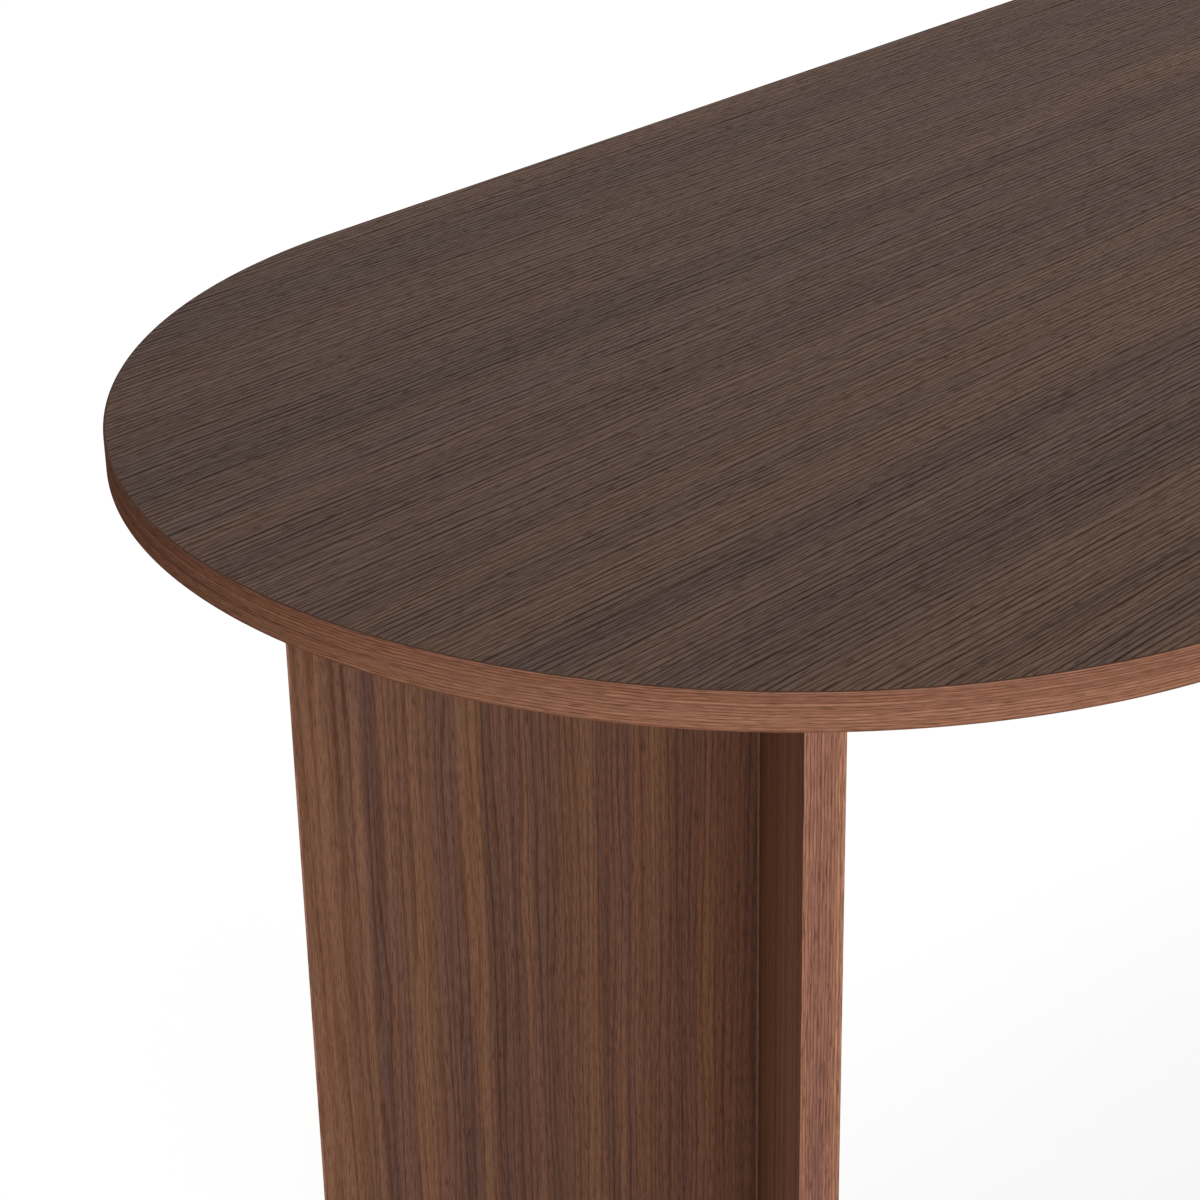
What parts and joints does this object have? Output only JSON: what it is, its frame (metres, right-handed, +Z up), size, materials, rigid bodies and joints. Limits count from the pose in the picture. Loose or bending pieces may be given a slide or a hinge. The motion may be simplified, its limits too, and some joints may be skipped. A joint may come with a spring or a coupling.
{
  "type": "oval dining table",
  "caption": "Oval dining table: a walnut laminate top with straight sides and half-round ends on V-shaped legs of upright walnut boards.",
  "frame": {"origin": "on the floor under the middle of the table top", "axes": "+X along the length of the table, +Y across it, +Z up from the floor to the table top"},
  "size_m": [1.7996, 0.9, 0.75],
  "materials": {
    "walnut_top_laminate": "dark greyed walnut laminate with fine straight grain, satin",
    "walnut_backer": "plain walnut balancing laminate, matt",
    "board_core": "bare fibreboard core",
    "walnut_edge_band": "lighter walnut edge band with fine grain along its length, satin",
    "walnut_panel_foil": "walnut board with upright cathedral grain, satin",
    "bracket_steel": "black powder-coated steel",
    "glide_plastic": "dark brown nylon",
    "cap_plastic": "brown moulded plastic",
    "dowel_beech": "bare beech",
    "cam_zinc": "die-cast zinc",
    "fastener_steel": "zinc-plated steel"
  },
  "bodies": {
    "root": {"east_bracket_bolts": "fastener_steel", "east_bracket_screws": "fastener_steel", "east_butt_panel": "walnut_panel_foil", "east_butt_panel_corner_bracket": "bracket_steel", "east_butt_panel_end_bracket": "bracket_steel", "east_butt_panel_foot_band": "walnut_edge_band", "east_butt_panel_inner_band": "walnut_edge_band", "east_butt_panel_inner_glide": "glide_plastic", "east_butt_panel_outer_band": "walnut_edge_band", "east_butt_panel_outer_glide": "glide_plastic", "east_cam_bolts": "fastener_steel", "east_cam_caps": "cap_plastic", "east_cam_locks": "cam_zinc", "east_corner_dowels": "dowel_beech", "east_glide_nails": "fastener_steel", "east_insert_nuts": "fastener_steel", "east_through_panel": "walnut_panel_foil", "east_through_panel_corner_bracket": "bracket_steel", "east_through_panel_end_bracket": "bracket_steel", "east_through_panel_foot_band": "walnut_edge_band", "east_through_panel_inner_band": "walnut_edge_band", "east_through_panel_inner_glide": "glide_plastic", "east_through_panel_outer_band": "walnut_edge_band", "east_through_panel_outer_glide": "glide_plastic", "top_backer_laminate": "walnut_backer", "top_board": "board_core", "top_edge_band": "walnut_edge_band", "top_face_laminate": "walnut_top_laminate", "west_bracket_bolts": "fastener_steel", "west_bracket_screws": "fastener_steel", "west_butt_panel": "walnut_panel_foil", "west_butt_panel_corner_bracket": "bracket_steel", "west_butt_panel_end_bracket": "bracket_steel", "west_butt_panel_foot_band": "walnut_edge_band", "west_butt_panel_inner_band": "walnut_edge_band", "west_butt_panel_inner_glide": "glide_plastic", "west_butt_panel_outer_band": "walnut_edge_band", "west_butt_panel_outer_glide": "glide_plastic", "west_cam_bolts": "fastener_steel", "west_cam_caps": "cap_plastic", "west_cam_locks": "cam_zinc", "west_corner_dowels": "dowel_beech", "west_glide_nails": "fastener_steel", "west_insert_nuts": "fastener_steel", "west_through_panel": "walnut_panel_foil", "west_through_panel_corner_bracket": "bracket_steel", "west_through_panel_end_bracket": "bracket_steel", "west_through_panel_foot_band": "walnut_edge_band", "west_through_panel_inner_band": "walnut_edge_band", "west_through_panel_inner_glide": "glide_plastic", "west_through_panel_outer_band": "walnut_edge_band", "west_through_panel_outer_glide": "glide_plastic"}
  },
  "joints": []
}
